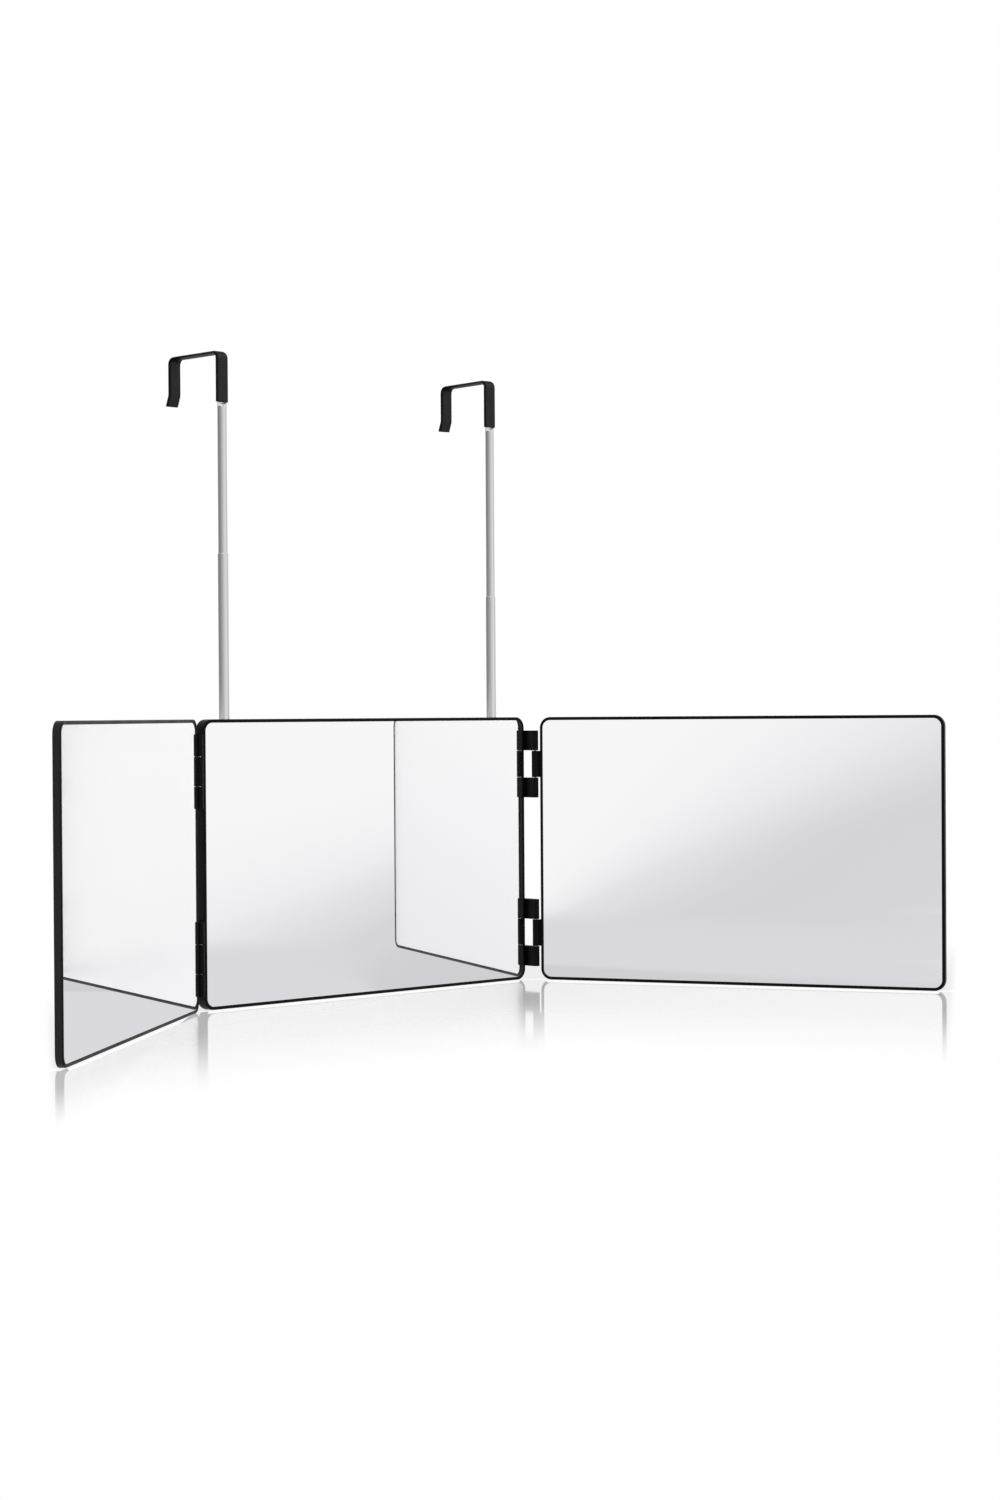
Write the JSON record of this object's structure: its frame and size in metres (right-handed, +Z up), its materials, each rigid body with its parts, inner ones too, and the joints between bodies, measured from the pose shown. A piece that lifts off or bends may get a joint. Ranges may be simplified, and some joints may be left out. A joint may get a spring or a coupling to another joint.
{
  "type": "trifold vanity mirror",
  "caption": "Folding vanity mirror of hinged flat panels in thin black frames, with telescoping chrome poles behind that end in hooks for the top of a door.",
  "frame": {"origin": "middle of the centre mirror's bottom face, which stands on the floor or table", "axes": "+Z up, X along the centre mirror, -Y is the mirror side of the centre mirror"},
  "size_m": [0.6934, 0.3531, 0.4462],
  "materials": {
    "frame_plastic": "satin moulded black",
    "hinge_plastic": "satin moulded black",
    "silvered_glass": "polished, silvered at the back",
    "foam_tape": "soft white foam",
    "tube_chrome": "bright chrome",
    "pin_steel": "bright drawn",
    "screw_steel": "black oxide",
    "bush_plastic": "natural white",
    "hook_vinyl": "satin black vinyl"
  },
  "bodies": {
    "centre_mirror": {"centre_rear_shell": "frame_plastic", "centre_mirror_glass": "silvered_glass", "centre_foam_tape": "foam_tape", "centre_screws": "screw_steel", "left_bracket_upper": "hinge_plastic", "left_bracket_lower": "hinge_plastic", "left_hinge_pins": "pin_steel", "left_pole_housing": "frame_plastic", "left_base_tube": "tube_chrome", "left_base_plug": "frame_plastic", "right_bracket_upper": "hinge_plastic", "right_bracket_lower": "hinge_plastic", "right_hinge_pins": "pin_steel", "right_pole_housing": "frame_plastic", "right_base_tube": "tube_chrome", "right_base_plug": "frame_plastic"},
    "left_mirror": {"left_rear_shell": "frame_plastic", "left_mirror_glass": "silvered_glass", "left_foam_tape": "foam_tape", "left_hinge_leaf_upper": "hinge_plastic", "left_hinge_leaf_lower": "hinge_plastic", "left_leaf_screws": "screw_steel"},
    "right_mirror": {"right_rear_shell": "frame_plastic", "right_mirror_glass": "silvered_glass", "right_foam_tape": "foam_tape", "right_hinge_leaf_upper": "hinge_plastic", "right_hinge_leaf_lower": "hinge_plastic", "right_leaf_screws": "screw_steel"},
    "left_middle_section": {"left_middle_tube": "tube_chrome", "left_middle_foot_bush": "bush_plastic"},
    "left_slider": {"left_upper_foot_bush": "bush_plastic"},
    "left_hook": {"left_upper_tube": "tube_chrome", "left_hook_cover": "hook_vinyl"},
    "right_middle_section": {"right_middle_tube": "tube_chrome", "right_middle_foot_bush": "bush_plastic"},
    "right_slider": {"right_upper_foot_bush": "bush_plastic"},
    "right_hook": {"right_upper_tube": "tube_chrome", "right_hook_cover": "hook_vinyl"}
  },
  "joints": [
    {"name": "left_mirror_hinge", "type": "hinge", "parent": "centre_mirror", "child": "left_mirror", "pos_m": [-0.1561, -0.0029, 0.098], "axis": [0, 0, 1], "range_deg": [-37.13, 142.87]},
    {"name": "right_mirror_hinge", "type": "hinge", "parent": "centre_mirror", "child": "right_mirror", "pos_m": [0.1561, -0.0101, 0.098], "axis": [0, 0, -1], "range_deg": [-65.62, 114.38]},
    {"name": "left_middle_slide", "type": "slide", "parent": "centre_mirror", "child": "left_middle_section", "axis": [0, 0, 1], "range_m": [-0.1127, 0.0408]},
    {"name": "left_upper_slide", "type": "slide", "parent": "left_middle_section", "child": "left_slider", "axis": [0, 0, 1], "range_m": [-0.0962, 0.0518]},
    {"name": "left_hook_swivel", "type": "hinge", "parent": "left_slider", "child": "left_hook", "pos_m": [-0.127, 0.0065, 0.3], "axis": [0, 0, 1], "continuous": true},
    {"name": "right_middle_slide", "type": "slide", "parent": "centre_mirror", "child": "right_middle_section", "axis": [0, 0, 1], "range_m": [-0.0898, 0.0637]},
    {"name": "right_upper_slide", "type": "slide", "parent": "right_middle_section", "child": "right_slider", "axis": [0, 0, 1], "range_m": [-0.1191, 0.0289]},
    {"name": "right_hook_swivel", "type": "hinge", "parent": "right_slider", "child": "right_hook", "pos_m": [0.127, 0.0065, 0.3], "axis": [0, 0, 1], "continuous": true}
  ]
}
